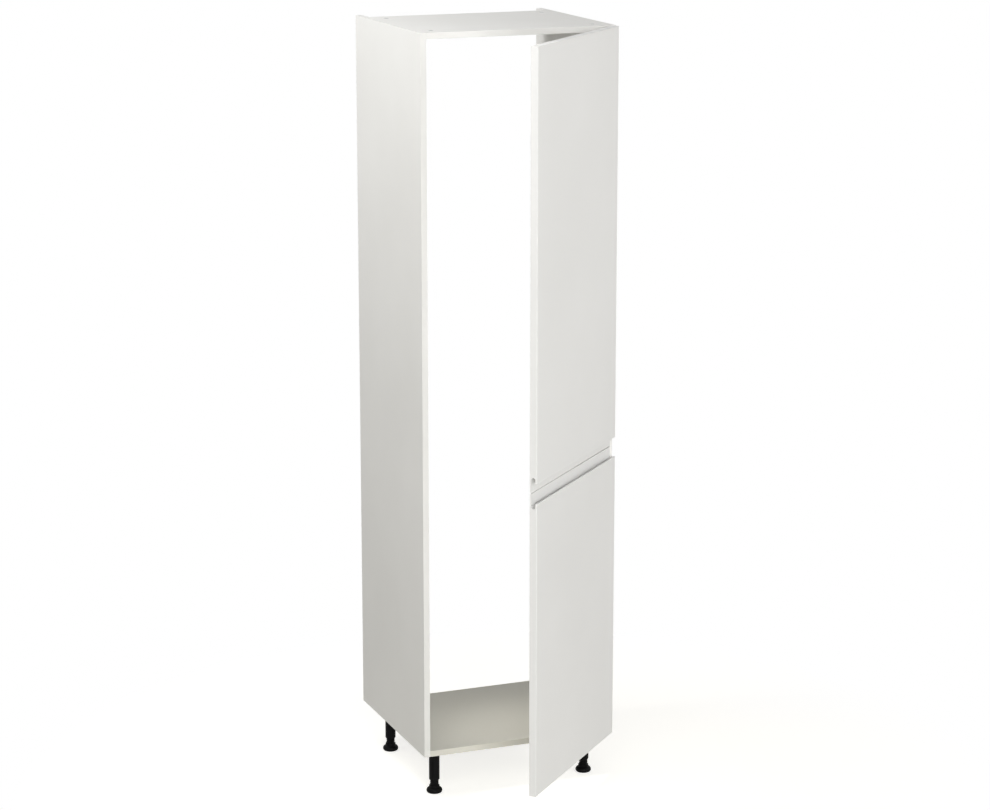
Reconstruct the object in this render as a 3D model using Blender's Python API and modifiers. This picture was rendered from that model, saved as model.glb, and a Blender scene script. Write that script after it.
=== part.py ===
# Fridge housing unit: an open-backed tall carcass on four adjustable legs, with two doors on concealed
# hinges, their finger grooves facing each other. Metres, +Z up. The builders work in carcass coordinates:
# x from the middle, y from the panels' front edges towards the rear, z from the floor. One empty then
# centres the assembly, doors open, over the origin.
import math

import bmesh
import bpy
from mathutils import Matrix, Vector

# Carcass
WIDTH = 0.600
DEPTH = 0.560
CARCASS_HEIGHT = 2.150
PANEL = 0.018
LEG_HEIGHT = 0.140
TOP_REAR_SETBACK = 0.072
BASE_REAR_SETBACK = 0.065
PANEL_EDGE_ROUND = 0.0006

# Doors, and how far they stand open at rest
DOOR_SIDE_REVEAL = 0.002
DOOR_THICKNESS = 0.022
LOWER_DOOR_HEIGHT = 0.895
DOOR_BOTTOM_REVEAL = 0.006
DOOR_TOP_REVEAL = 0.001
DOOR_JOINT = 0.003
DOOR_GAP = 0.002
DOOR_EDGE_ROUND = 0.0022
REST_OPEN_DEGREES = 44.7

# Finger groove along the edge where the doors meet
GROOVE_LIP_DROP = 0.028
GROOVE_LIP = 0.0055
GROOVE_WIDTH = 0.012
GROOVE_BEHIND_LIP = 0.016
GROOVE_LIP_ROUND = 0.0018

# Clearances
FIT = 0.0003
RUNNING = 0.00015
OVERRUN = 0.004

# Cam fittings that tie the top and base panels to the sides
CAM_RADIUS = 0.0075
CAM_DEPTH = 0.0125
CAM_FROM_END = 0.034
CAM_FROM_EDGE = 0.054
CAM_SLOT = 0.0074
CAM_CROSS_LENGTH = 0.0045
CAM_CROSS_DEPTH = 0.0022
CAM_CROSS_WIDTH = 0.0014
BOLT_SHANK_RADIUS = 0.0034
BOLT_HEAD_RADIUS = 0.0032
BOLT_HEAD = 0.0028
BOLT_NECK_RADIUS = 0.0020
BOLT_NECK = 0.0045
BOLT_THREAD_RADIUS = 0.0025
BOLT_THREAD = 0.0100
BOLT_PAST_CAM_CENTRE = 0.0010

# Hinge places, measured from each end of a door
HINGE_FROM_END = 0.110
UPPER_HINGE_COUNT = 3
LOWER_HINGE_COUNT = 2

# Hinge cup, sunk in the door's back
CUP_RADIUS = 0.0175
CUP_EDGE = 0.0050
CUP_DEPTH = 0.0113
CUP_WALL = 0.0012
CUP_FLOOR = 0.0009
CUP_FLANGE = 0.0010
CUP_RIM = 0.0002
CUP_NOTCH = 0.0030
CUP_NOTCH_HALF_WIDTH = 0.0062
CUP_FLANGE_LENGTH = 0.062
CUP_FLANGE_WIDTH = 0.013
CUP_SCREW_SPACING = 0.048
CUP_SCREW_OFFSET = 0.0060
CUP_SCREW_RADIUS = 0.0024
CUP_SCREW_LENGTH = 0.0090
CUP_SCREW_HEAD_RISE = 0.0004

# Hinge pins as (inset from the door's outer edge, reach in front of the carcass), doors closed
OUTER_ARM_PIN = (0.0408, -0.0120)
OUTER_CUP_PIN = (0.0099, 0.0080)
INNER_ARM_PIN = (0.0460, -0.0030)
INNER_CUP_PIN = (0.0142, 0.0056)
OUTER_TURN_SHARE = -0.219
INNER_TURN_SHARE = -0.341
OUTER_BEND = 0.0155
INNER_BEND = 0.0012
OUTER_BEND_SHARE = 0.9
INNER_BEND_SHARE = 0.8
PIN_RADIUS = 0.0010
KNUCKLE_RADIUS = 0.0019
LINK_THICKNESS = 0.0014
KNUCKLE_PROUD = 0.0002
OUTER_LINK_HALF_WIDTH = 0.0054
INNER_LINK_HALF_WIDTH = 0.0034
OUTER_STRIP = 0.0016

# Hinge arm and mounting plate
ARM_HALF_WIDTH = 0.0076
ARM_SLOT_HALF_WIDTH = 0.0059
ARM_LENGTH = 0.060
ARM_NOSE_FRONT = 0.0004
ARM_NOSE_LENGTH = 0.0170
ARM_NOSE_MARGIN = 0.0028
ARM_REAR_THICKNESS = 0.0060
ARM_SLOPE_END = 0.0348
PLATE_LINE = 0.037
PLATE_BLOCK_HALF_WIDTH = 0.0055
PLATE_BLOCK_HEIGHT = 0.0060
PLATE_BLOCK_FRONT = 0.018
PLATE_BLOCK_REAR = 0.057
PLATE_WING = 0.0022
PLATE_WING_LENGTH = 0.050
PLATE_WING_WIDTH = 0.013
PLATE_SCREW_SPACING = 0.032
PLATE_SCREW_RADIUS = 0.0024
PLATE_SCREW_LENGTH = 0.0105
PLATE_SCREW_HEAD = 0.0040
PLATE_SCREW_HEAD_RISE = 0.0012

# Legs
LEG_FROM_SIDE = 0.056
FRONT_LEG_SETBACK = 0.070
REAR_LEG_FROM_BASE_EDGE = 0.030
SOCKET_PLATE = 0.0040
SOCKET_PLATE_SIDE = 0.058
SOCKET_CORNER = 0.008
SOCKET_BOSS_RADIUS = 0.0200
SOCKET_BOSS = 0.0170
SOCKET_PEG_RADIUS = 0.0050
SOCKET_PEG = 0.0100
TUBE_RADIUS = 0.0160
TUBE_WALL = 0.0026
TUBE_BOTTOM = 0.0410
TUBE_CHAMFER = 0.0010
FOOT_RADIUS = 0.0240
FOOT_DISC = 0.0060
FOOT_CHAMFER = 0.0010
COLLAR_RADIUS = 0.0157
COLLAR_BOTTOM = 0.0150
COLLAR_TOP = 0.0250
STEM_RADIUS = 0.0130
STEM_TOP = 0.0960
THREAD_DEPTH = 0.0012
THREAD_PITCH = 0.0045
THREAD_LENGTH = 0.0180
THREAD_FALL_SHARES = (1 / 3, 1 / 2, 5 / 6)

# Facets of round shapes
FINE_SIDES = 24
ROUND_SIDES = 18
SMALL_SIDES = 10
ARC_STEPS = 4
SMALL_ARC_STEPS = 2
CORNER_STEPS = 3
EDGE_ROUND_SEGMENTS = 2
SMOOTH_DEGREES = 35
MERGE = 0.00001

# Values that follow from the ones above
DOOR_WIDTH = WIDTH - 2 * DOOR_SIDE_REVEAL
DOOR_EDGE = WIDTH / 2 - DOOR_SIDE_REVEAL
PANEL_INSET = PANEL - DOOR_SIDE_REVEAL
CARCASS_TOP = LEG_HEIGHT + CARCASS_HEIGHT
LOWER_DOOR_BOTTOM = LEG_HEIGHT + DOOR_BOTTOM_REVEAL
UPPER_DOOR_BOTTOM = LOWER_DOOR_BOTTOM + LOWER_DOOR_HEIGHT + DOOR_JOINT
UPPER_DOOR_HEIGHT = CARCASS_TOP - DOOR_TOP_REVEAL - UPPER_DOOR_BOTTOM
CUP_INSET = CUP_EDGE + CUP_RADIUS
REST_OPEN = math.radians(REST_OPEN_DEGREES)
AXIS_TURNS = {
    "x": Matrix.Rotation(math.pi / 2, 4, "Y"),
    "y": Matrix.Rotation(math.pi / 2, 4, "X"),
    "z": Matrix.Identity(4),
}
COLOURS = {
    "white_panel": ((0.80, 0.80, 0.78), 0.45, 0.0),
    "white_door": ((0.82, 0.82, 0.80), 0.38, 0.0),
    "nickel": ((0.62, 0.62, 0.60), 0.28, 1.0),
    "zinc": ((0.50, 0.50, 0.49), 0.40, 1.0),
    "black_plastic": ((0.012, 0.012, 0.013), 0.42, 0.0),
}


def start_scene():
    for obj in list(bpy.data.objects):
        bpy.data.objects.remove(obj, do_unlink=True)
    for name in ("fridge_housing_unit", "cutters"):
        bpy.context.scene.collection.children.link(bpy.data.collections.new(name))


def finish(name):
    colour, roughness, metallic = COLOURS[name]
    made = bpy.data.materials.new(name)
    made.use_nodes = True
    shader = made.node_tree.nodes["Principled BSDF"]
    shader.inputs["Base Color"].default_value = (*colour, 1)
    shader.inputs["Roughness"].default_value = roughness
    shader.inputs["Metallic"].default_value = metallic
    return made


def add_box(bm, low, high):
    low, high = Vector(low), Vector(high)
    place = Matrix.Translation((low + high) / 2) @ Matrix.Diagonal((*(high - low), 1))
    bmesh.ops.create_cube(bm, size=1, matrix=place)


def add_cylinder(bm, centre, axis, radius, length, sides=SMALL_SIDES):
    place = Matrix.Translation(centre) @ AXIS_TURNS[axis]
    bmesh.ops.create_cone(
        bm, cap_ends=True, segments=sides, radius1=radius, radius2=radius, depth=length, matrix=place
    )


def add_outline(bm, points, half_thickness, turn=None):
    """A flat outline, drawn in the x-y plane, thickened both ways along z."""
    curve = bpy.data.curves.new("outline", "CURVE")
    curve.dimensions = "2D"
    curve.fill_mode = "BOTH"
    curve.extrude = half_thickness
    spline = curve.splines.new("POLY")
    spline.points.add(len(points) - 1)
    for point, (x, y) in zip(spline.points, points):
        point.co = (x, y, 0, 1)
    spline.use_cyclic_u = True
    guide = bpy.data.objects.new("outline", curve)
    bpy.data.collections["cutters"].objects.link(guide)
    bpy.context.view_layer.update()
    mesh = bpy.data.meshes.new_from_object(guide.evaluated_get(bpy.context.evaluated_depsgraph_get()))
    bpy.data.objects.remove(guide, do_unlink=True)
    if turn:
        mesh.transform(turn)
    closed = bmesh.new()
    closed.from_mesh(mesh)
    bmesh.ops.remove_doubles(closed, verts=closed.verts, dist=MERGE)
    bmesh.ops.recalc_face_normals(closed, faces=closed.faces)
    closed.to_mesh(mesh)
    closed.free()
    bm.from_mesh(mesh)
    bpy.data.meshes.remove(mesh)


def solid(name, build, colour=None, at=(0, 0, 0)):
    """One object from a function that fills a mesh; without a colour it is a hidden helper."""
    bm = bmesh.new()
    build(bm)
    mesh = bpy.data.meshes.new(name)
    bm.to_mesh(mesh)
    bm.free()
    return place_object(name, mesh, colour, at)


def place_object(name, mesh, colour, at):
    obj = bpy.data.objects.new(name, mesh)
    obj.location = at
    if colour:
        bpy.data.collections["fridge_housing_unit"].objects.link(obj)
        mesh.materials.append(finish(colour))
        mesh.shade_smooth()
        mesh.set_sharp_from_angle(angle=math.radians(SMOOTH_DEGREES))
    else:
        bpy.data.collections["cutters"].objects.link(obj)
        obj.hide_render = True
        obj.display_type = "WIRE"
    return obj


def turned(name, profile, colour=None, at=(0, 0, 0), sides=ROUND_SIDES):
    """A turned shape about Z: its profile is (radius, height) pairs down the outside, top to bottom."""
    mesh = bpy.data.meshes.new(name)
    mesh.from_pydata([(r, 0, z) for r, z in profile], [(i, i + 1) for i in range(len(profile) - 1)], [])
    obj = place_object(name, mesh, None, at)
    screw = obj.modifiers.new("turn", "SCREW")
    screw.steps = screw.render_steps = sides
    screw.use_merge_vertices = True
    screw.merge_threshold = MERGE
    screw.use_smooth_shade = True
    bpy.context.view_layer.update()
    made = bpy.data.meshes.new_from_object(obj.evaluated_get(bpy.context.evaluated_depsgraph_get()))
    bpy.data.objects.remove(obj, do_unlink=True)
    return place_object(name, made, colour, at)


def combine(target, helper, operation="DIFFERENCE"):
    modifier = target.modifiers.new(helper.name, "BOOLEAN")
    modifier.operation = operation
    modifier.object = helper
    helper.parent = target
    helper.location = helper.location - target.location


def round_edges(obj, width, chosen):
    """Rounds only the edges whose two ends both pass the test."""
    weights = obj.data.attributes.new("bevel_weight_edge", "FLOAT", "EDGE")
    for edge in obj.data.edges:
        ends = [obj.data.vertices[i].co for i in edge.vertices]
        weights.data[edge.index].value = 1.0 if all(chosen(end) for end in ends) else 0.0
    bevel = obj.modifiers.new("edge_round", "BEVEL")
    bevel.limit_method = "WEIGHT"
    bevel.width = width
    bevel.segments = EDGE_ROUND_SEGMENTS


def arc(centre, radius, start, end, steps=ARC_STEPS):
    """Points of an arc in a plane, from one angle in degrees to another."""
    angles = [math.radians(start + (end - start) * i / steps) for i in range(steps + 1)]
    return [(centre[0] + radius * math.cos(a), centre[1] + radius * math.sin(a)) for a in angles]


def empty(name, at, turn=0, parent=None):
    obj = bpy.data.objects.new(name, None)
    bpy.data.collections["fridge_housing_unit"].objects.link(obj)
    obj.location = at
    obj.rotation_euler.z = turn
    obj.parent = parent
    return obj


def hang(obj, axis):
    """Makes a piece, placed doors closed in carcass coordinates, ride on a joint's axis."""
    obj.parent = axis
    obj.location = obj.location - Vector(axis["closed_at"])


def closed_point(inset, reach, height=0):
    """A point given by its inset from the doors' outer edge and its reach in front of the carcass."""
    return Vector((DOOR_EDGE - inset, -reach, height))


def flat_turn(point, angle):
    return Matrix.Rotation(angle, 3, "Z") @ Vector(point)


def at_rest(point):
    """Where a point of a closed door lies with the doors open as at rest."""
    arm_pin, cup_pin = closed_point(*OUTER_ARM_PIN), closed_point(*OUTER_CUP_PIN)
    link = flat_turn(cup_pin - arm_pin, REST_OPEN * OUTER_TURN_SHARE)
    return arm_pin + link + flat_turn(Vector(point) - cup_pin, REST_OPEN)


def footprint_centre():
    """The middle of the box round the carcass and the open doors, seen from above."""
    nick = DOOR_EDGE_ROUND * (1 - math.sqrt(0.5))
    front = DOOR_GAP + DOOR_THICKNESS - nick
    rounded = [at_rest(closed_point(inset, front)) for inset in (nick, DOOR_WIDTH - nick)]
    right = max(WIDTH / 2, *(corner.x for corner in rounded))
    nearest = min(corner.y for corner in rounded)
    return Vector(((right - WIDTH / 2) / 2, (DEPTH + nearest) / 2, 0))


def cam_places(depth):
    """Cam centres of a panel as (side, from the front)."""
    return [(side, y) for side in (-1, 1) for y in (CAM_FROM_EDGE, depth - CAM_FROM_EDGE)]


def hinge_heights(bottom, height, count):
    first, last = bottom + HINGE_FROM_END, bottom + height - HINGE_FROM_END
    return [first + (last - first) * i / (count - 1) for i in range(count)]


def all_hinge_heights():
    lower = hinge_heights(LOWER_DOOR_BOTTOM, LOWER_DOOR_HEIGHT, LOWER_HINGE_COUNT)
    return lower + hinge_heights(UPPER_DOOR_BOTTOM, UPPER_DOOR_HEIGHT, UPPER_HINGE_COUNT)


def panel_heights():
    """Mid-heights of the base and top panels with their depths."""
    base_depth, top_depth = DEPTH - BASE_REAR_SETBACK, DEPTH - TOP_REAR_SETBACK
    return ((LEG_HEIGHT + PANEL / 2, base_depth), (CARCASS_TOP - PANEL / 2, top_depth))


def side_panel(name, side, frame):
    """A side: bolt holes for the top and base, and screw holes for hinge plates on either hand."""
    inner = side * (WIDTH / 2 - PANEL)
    outer = side * WIDTH / 2
    low = (min(inner, outer), 0, LEG_HEIGHT)
    high = (max(inner, outer), DEPTH, CARCASS_TOP)
    panel = solid(name, lambda bm: add_box(bm, low, high), "white_panel")
    round_edges(panel, PANEL_EDGE_ROUND, lambda point: point.y < PANEL_EDGE_ROUND)

    def holes(bm):
        for z, depth in panel_heights():
            for hole_side, y in cam_places(depth):
                if hole_side == side:
                    hole(bm, y, z, BOLT_THREAD_RADIUS + FIT, BOLT_THREAD + FIT)
        for z in all_hinge_heights():
            for shift in (-PLATE_SCREW_SPACING / 2, PLATE_SCREW_SPACING / 2):
                hole(bm, PLATE_LINE, z + shift, PLATE_SCREW_RADIUS + FIT, PLATE_SCREW_LENGTH + FIT)

    def hole(bm, y, z, radius, depth):
        middle = inner + side * (depth - OVERRUN) / 2
        add_cylinder(bm, (middle, y, z), "x", radius, depth + OVERRUN)

    combine(panel, solid(name + "_holes", holes))
    panel.parent = frame


def shelf_panel(name, bottom, depth, cams_on_top, frame):
    """The top or base panel, between the sides, bored for its cams and bolts."""
    half = WIDTH / 2 - PANEL - FIT
    low, high = (-half, 0, bottom), (half, depth, bottom + PANEL)
    panel = solid(name, lambda bm: add_box(bm, low, high), "white_panel")
    round_edges(panel, PANEL_EDGE_ROUND, lambda point: point.y < PANEL_EDGE_ROUND)
    face = bottom + PANEL if cams_on_top else bottom
    inward = -1 if cams_on_top else 1

    def cam_holes(bm):
        length = CAM_DEPTH + FIT + OVERRUN
        for side, y in cam_places(depth):
            x = side * (half + FIT - CAM_FROM_END)
            z = face + inward * (length / 2 - OVERRUN)
            add_cylinder(bm, (x, y, z), "z", CAM_RADIUS + FIT, length, ROUND_SIDES)

    def bolt_holes(bm):
        for side, y in cam_places(depth):
            x = side * (half + FIT + OVERRUN - CAM_FROM_END / 2)
            add_cylinder(bm, (x, y, bottom + PANEL / 2), "x", BOLT_SHANK_RADIUS + FIT, CAM_FROM_END)

    combine(panel, solid(name + "_cam_holes", cam_holes))
    combine(panel, solid(name + "_bolt_holes", bolt_holes))
    if not cams_on_top:
        combine(panel, solid(name + "_peg_holes", peg_holes))
    panel.parent = frame


def leg_places():
    """Leg axes by name."""
    across = WIDTH / 2 - LEG_FROM_SIDE
    rear = DEPTH - BASE_REAR_SETBACK - REAR_LEG_FROM_BASE_EDGE
    rows = (("front", FRONT_LEG_SETBACK), ("rear", rear))
    hands = (("left", -1), ("right", 1))
    return {f"{row}_{hand}": (side * across, y) for row, y in rows for hand, side in hands}


def peg_holes(bm):
    length = SOCKET_PEG + FIT + OVERRUN
    for x, y in leg_places().values():
        z = LEG_HEIGHT + length / 2 - OVERRUN
        add_cylinder(bm, (x, y, z), "z", SOCKET_PEG_RADIUS + FIT, length)


def cam_fitting(name, side, y, face, inward, frame):
    """A cam in the panel's face, slotted for the bolt's head, with a cross recess."""
    at = (side * (WIDTH / 2 - PANEL - CAM_FROM_END), y, face)
    middle = inward * PANEL / 2

    def body(bm):
        add_cylinder(bm, (0, 0, inward * CAM_DEPTH / 2), "z", CAM_RADIUS, CAM_DEPTH, ROUND_SIDES)

    def slot(bm):
        past = CAM_SLOT / 2
        ends = (-side * past, side * (CAM_RADIUS + OVERRUN))
        add_box(bm, (min(ends), -past, middle - past), (max(ends), past, middle + past))

    def recess(bm, long_x, long_y):
        add_box(bm, (-long_x, -long_y, -CAM_CROSS_DEPTH), (long_x, long_y, CAM_CROSS_DEPTH))

    cam = solid(name, body, "zinc", at)
    combine(cam, solid(name + "_slot", slot, at=at))
    bars = ((CAM_CROSS_LENGTH, CAM_CROSS_WIDTH), (CAM_CROSS_WIDTH, CAM_CROSS_LENGTH))
    for turn, (long_x, long_y) in enumerate(bars):
        helper = solid(f"{name}_recess_{turn}", lambda bm: recess(bm, long_x, long_y), at=at)
        combine(cam, helper)
    cam.parent = frame


def cam_bolt(name, side, y, z, frame):
    """A bolt from the side into the cam: thread, collar, shank, neck and head along X."""
    reach = CAM_FROM_END - BOLT_PAST_CAM_CENTRE
    shank_end = reach - BOLT_HEAD - BOLT_NECK
    profile = (
        (0, BOLT_THREAD),
        (BOLT_THREAD_RADIUS, BOLT_THREAD),
        (BOLT_THREAD_RADIUS, -FIT),
        (BOLT_SHANK_RADIUS, -FIT),
        (BOLT_SHANK_RADIUS, -shank_end),
        (BOLT_NECK_RADIUS, -shank_end),
        (BOLT_NECK_RADIUS, -reach + BOLT_HEAD),
        (BOLT_HEAD_RADIUS, -reach + BOLT_HEAD),
        (BOLT_HEAD_RADIUS, -reach),
        (0, -reach),
    )
    bolt = turned(name, profile, "zinc", (side * (WIDTH / 2 - PANEL), y, z), SMALL_SIDES)
    bolt.rotation_euler.y = side * math.pi / 2
    bolt.parent = frame


def joinery(frame):
    base_depth, top_depth = DEPTH - BASE_REAR_SETBACK, DEPTH - TOP_REAR_SETBACK
    rows = (("base", LEG_HEIGHT, 1, base_depth), ("top", CARCASS_TOP, -1, top_depth))
    for panel, face, inward, depth in rows:
        for side, y in cam_places(depth):
            row = "front" if y < depth / 2 else "rear"
            name = f"{panel}_{row}_{'left' if side < 0 else 'right'}"
            cam_fitting(name + "_cam", side, y, face, inward, frame)
            cam_bolt(name + "_bolt", side, y, face + inward * PANEL / 2, frame)


def groove_outline(edge, way):
    """The finger groove's section at a door's meeting edge; way is +1 where the door lies above it."""
    lip_back = GROOVE_LIP
    wall = GROOVE_LIP + GROOVE_WIDTH
    radius, tip = GROOVE_WIDTH / 2, GROOVE_LIP_ROUND
    lip = GROOVE_LIP_DROP
    deep = lip + GROOVE_BEHIND_LIP - radius
    points = [(-OVERRUN, -OVERRUN), (wall, -OVERRUN)]
    points += arc((wall - radius, deep), radius, 0, 180)
    points += arc((lip_back - tip, lip + tip), tip, 0, -90, SMALL_ARC_STEPS)
    points += arc((tip, lip + tip), tip, -90, -180, SMALL_ARC_STEPS)
    points += [(-OVERRUN, lip + tip)]
    face = -(DOOR_GAP + DOOR_THICKNESS)
    return [(face + back, edge + way * up) for back, up in points]


def door(name, bottom, height, groove_at_bottom, hinge_zs, axis):
    """A slab door: rounded front edges, a finger groove on the edge that meets the other door, cup bores."""
    low = (DOOR_EDGE - DOOR_WIDTH, -(DOOR_GAP + DOOR_THICKNESS), bottom)
    high = (DOOR_EDGE, -DOOR_GAP, bottom + height)
    slab = solid(name, lambda bm: add_box(bm, low, high), "white_door")
    round_edges(slab, DOOR_EDGE_ROUND, lambda point: point.y < low[1] + DOOR_EDGE_ROUND)
    edge, way = (bottom, 1) if groove_at_bottom else (bottom + height, -1)
    along_x = Matrix(((0, 0, 1, 0), (1, 0, 0, 0), (0, 1, 0, 0), (0, 0, 0, 1)))

    def groove(bm):
        points = groove_outline(edge, way)
        add_outline(bm, points, DOOR_WIDTH / 2 + OVERRUN, along_x)

    def bores(bm):
        depth = CUP_DEPTH + FIT
        screw_depth = CUP_SCREW_LENGTH + FIT
        for z in hinge_zs:
            centre = closed_point(CUP_INSET, DOOR_GAP + (depth - OVERRUN) / 2, z)
            add_cylinder(bm, centre, "y", CUP_RADIUS + FIT, depth + OVERRUN, FINE_SIDES)
            for shift in (-CUP_SCREW_SPACING / 2, CUP_SCREW_SPACING / 2):
                reach = DOOR_GAP + (screw_depth - OVERRUN) / 2
                at = closed_point(CUP_INSET + CUP_SCREW_OFFSET, reach, z + shift)
                add_cylinder(bm, at, "y", CUP_SCREW_RADIUS + FIT, screw_depth + OVERRUN)

    combine(slab, solid(name + "_groove", groove))
    combine(slab, solid(name + "_bores", bores))
    hang(slab, axis)


def rounded_strip(half_length, half_width):
    """A strip's outline with round ends, lying along y."""
    ends = half_length - half_width
    return arc((0, ends), half_width, 0, 180) + arc((0, -ends), half_width, 180, 360)


def hinge_cup(name, z, axis):
    """The cup: a bowl in the door with a screwed flange on its back and the outer link's pin across it."""
    at = closed_point(CUP_INSET, DOOR_GAP, z)
    flange_top = FIT + CUP_FLANGE
    rim = flange_top + CUP_RIM

    def bowl(bm):
        add_cylinder(bm, (0, (rim - CUP_DEPTH) / 2, 0), "y", CUP_RADIUS, rim + CUP_DEPTH, FINE_SIDES)

    def flange(bm):
        turn = Matrix.Translation((-CUP_SCREW_OFFSET, FIT + CUP_FLANGE / 2, 0)) @ AXIS_TURNS["y"]
        add_outline(bm, rounded_strip(CUP_FLANGE_LENGTH / 2, CUP_FLANGE_WIDTH / 2), CUP_FLANGE / 2, turn)

    def hollow(bm):
        length = CUP_DEPTH - CUP_FLOOR + rim + OVERRUN
        middle = CUP_FLOOR - CUP_DEPTH + length / 2
        add_cylinder(bm, (0, middle, 0), "y", CUP_RADIUS - CUP_WALL, length, FINE_SIDES)

    def notch(bm):
        low = (CUP_RADIUS / 2, -CUP_NOTCH, -CUP_NOTCH_HALF_WIDTH)
        high = (CUP_RADIUS + OVERRUN, rim + OVERRUN, CUP_NOTCH_HALF_WIDTH)
        add_box(bm, low, high)

    def screws(bm):
        rise = flange_top + CUP_SCREW_HEAD_RISE
        for shift in (-CUP_SCREW_SPACING / 2, CUP_SCREW_SPACING / 2):
            place = (-CUP_SCREW_OFFSET, (rise - CUP_SCREW_LENGTH) / 2, shift)
            add_cylinder(bm, place, "y", CUP_SCREW_RADIUS, rise + CUP_SCREW_LENGTH)

    def pin(bm):
        inset, reach = OUTER_CUP_PIN
        off_centre = CUP_INSET - inset
        half = math.sqrt((CUP_RADIUS - FIT) ** 2 - (off_centre + PIN_RADIUS) ** 2)
        add_cylinder(bm, (off_centre, DOOR_GAP - reach, 0), "z", PIN_RADIUS, 2 * half)

    cup = solid(name, bowl, "nickel", at)
    combine(cup, solid(name + "_flange", flange, at=at), "UNION")
    combine(cup, solid(name + "_hollow", hollow, at=at))
    combine(cup, solid(name + "_notch", notch, at=at))
    combine(cup, solid(name + "_screws", screws, at=at), "UNION")
    combine(cup, solid(name + "_pin", pin, at=at), "UNION")
    hang(cup, axis)


def local(pin, origin=(0, 0)):
    """A pin's place in a hinge's own plane, from the door's outer edge at the carcass front."""
    return Vector((origin[0] - pin[0], origin[1] - pin[1]))


def bent_band(start, end, bend, share):
    """The outline of a flat link that bows sideways between its two pins."""
    start, end = local(start), local(end)
    along = end - start
    aside = Vector((along.y, -along.x)).normalized()
    control = start + along * share + aside * bend
    left, right = [], []
    for i in range(ARC_STEPS + 1):
        t = i / ARC_STEPS
        point = start * (1 - t) ** 2 + control * 2 * t * (1 - t) + end * t**2
        slope = ((control - start) * (1 - t) + (end - control) * t).normalized()
        normal = Vector((-slope.y, slope.x)) * LINK_THICKNESS / 2
        left.append(tuple(point + normal))
        right.append(tuple(point - normal))
    return left + right[::-1]


def link(name, z, arm_pin, cup_pin, bend, share, half_width, strips, bored_ends, axis):
    """A hinge link: a bent band, or two strips side by side, with a knuckle at each pin."""
    at = closed_point(0, 0, z)
    band = bent_band(arm_pin, cup_pin, bend, share)

    def body(bm):
        if not strips:
            add_outline(bm, band, half_width)
            return
        for way in (-1, 1):
            shift = Matrix.Translation((0, 0, way * (half_width - OUTER_STRIP / 2)))
            add_outline(bm, band, OUTER_STRIP / 2, shift)

    def knuckles(bm):
        for pin in (arm_pin, cup_pin):
            add_cylinder(bm, (*local(pin), 0), "z", KNUCKLE_RADIUS, 2 * (half_width + KNUCKLE_PROUD))

    def bores(bm):
        for pin in bored_ends:
            length = 2 * (half_width + OVERRUN)
            add_cylinder(bm, (*local(pin), 0), "z", PIN_RADIUS + RUNNING, length)

    made = solid(name, body, "nickel", at)
    combine(made, solid(name + "_knuckles", knuckles, at=at), "UNION")
    combine(made, solid(name + "_pin_bores", bores, at=at))
    hang(made, axis)


def hinge_arm(name, z, frame):
    """The arm on the mounting plate: its forked nose carries both arm pins."""
    at = closed_point(0, 0, z)
    under = PANEL_INSET + PLATE_BLOCK_HEIGHT + FIT
    nose_low = OUTER_ARM_PIN[0] - ARM_NOSE_MARGIN
    nose_high = INNER_ARM_PIN[0] + ARM_NOSE_MARGIN
    nose_back = ARM_NOSE_FRONT + ARM_NOSE_LENGTH
    outline = (
        (nose_low, -ARM_NOSE_FRONT),
        (nose_high, -ARM_NOSE_FRONT),
        (nose_high, -nose_back),
        (under + ARM_REAR_THICKNESS, -ARM_SLOPE_END),
        (under + ARM_REAR_THICKNESS, -ARM_LENGTH),
        (under, -ARM_LENGTH),
        (under, -(nose_back + ARM_NOSE_MARGIN)),
        (nose_low, -nose_back),
    )

    def body(bm):
        add_outline(bm, [tuple(local(point)) for point in outline], ARM_HALF_WIDTH)

    def slot(bm):
        back = -(nose_back - ARM_NOSE_MARGIN)
        corners = local((nose_high + OVERRUN, OVERRUN)), local((nose_low - OVERRUN, back))
        low, high = (*corners[0], -ARM_SLOT_HALF_WIDTH), (*corners[1], ARM_SLOT_HALF_WIDTH)
        add_box(bm, low, high)

    def pins(bm):
        length = ARM_HALF_WIDTH + ARM_SLOT_HALF_WIDTH
        for pin in (OUTER_ARM_PIN, INNER_ARM_PIN):
            add_cylinder(bm, (*local(pin), 0), "z", PIN_RADIUS, length)

    arm = solid(name, body, "nickel", at)
    combine(arm, solid(name + "_slot", slot, at=at))
    combine(arm, solid(name + "_pins", pins, at=at), "UNION")
    arm.parent = frame


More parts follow.
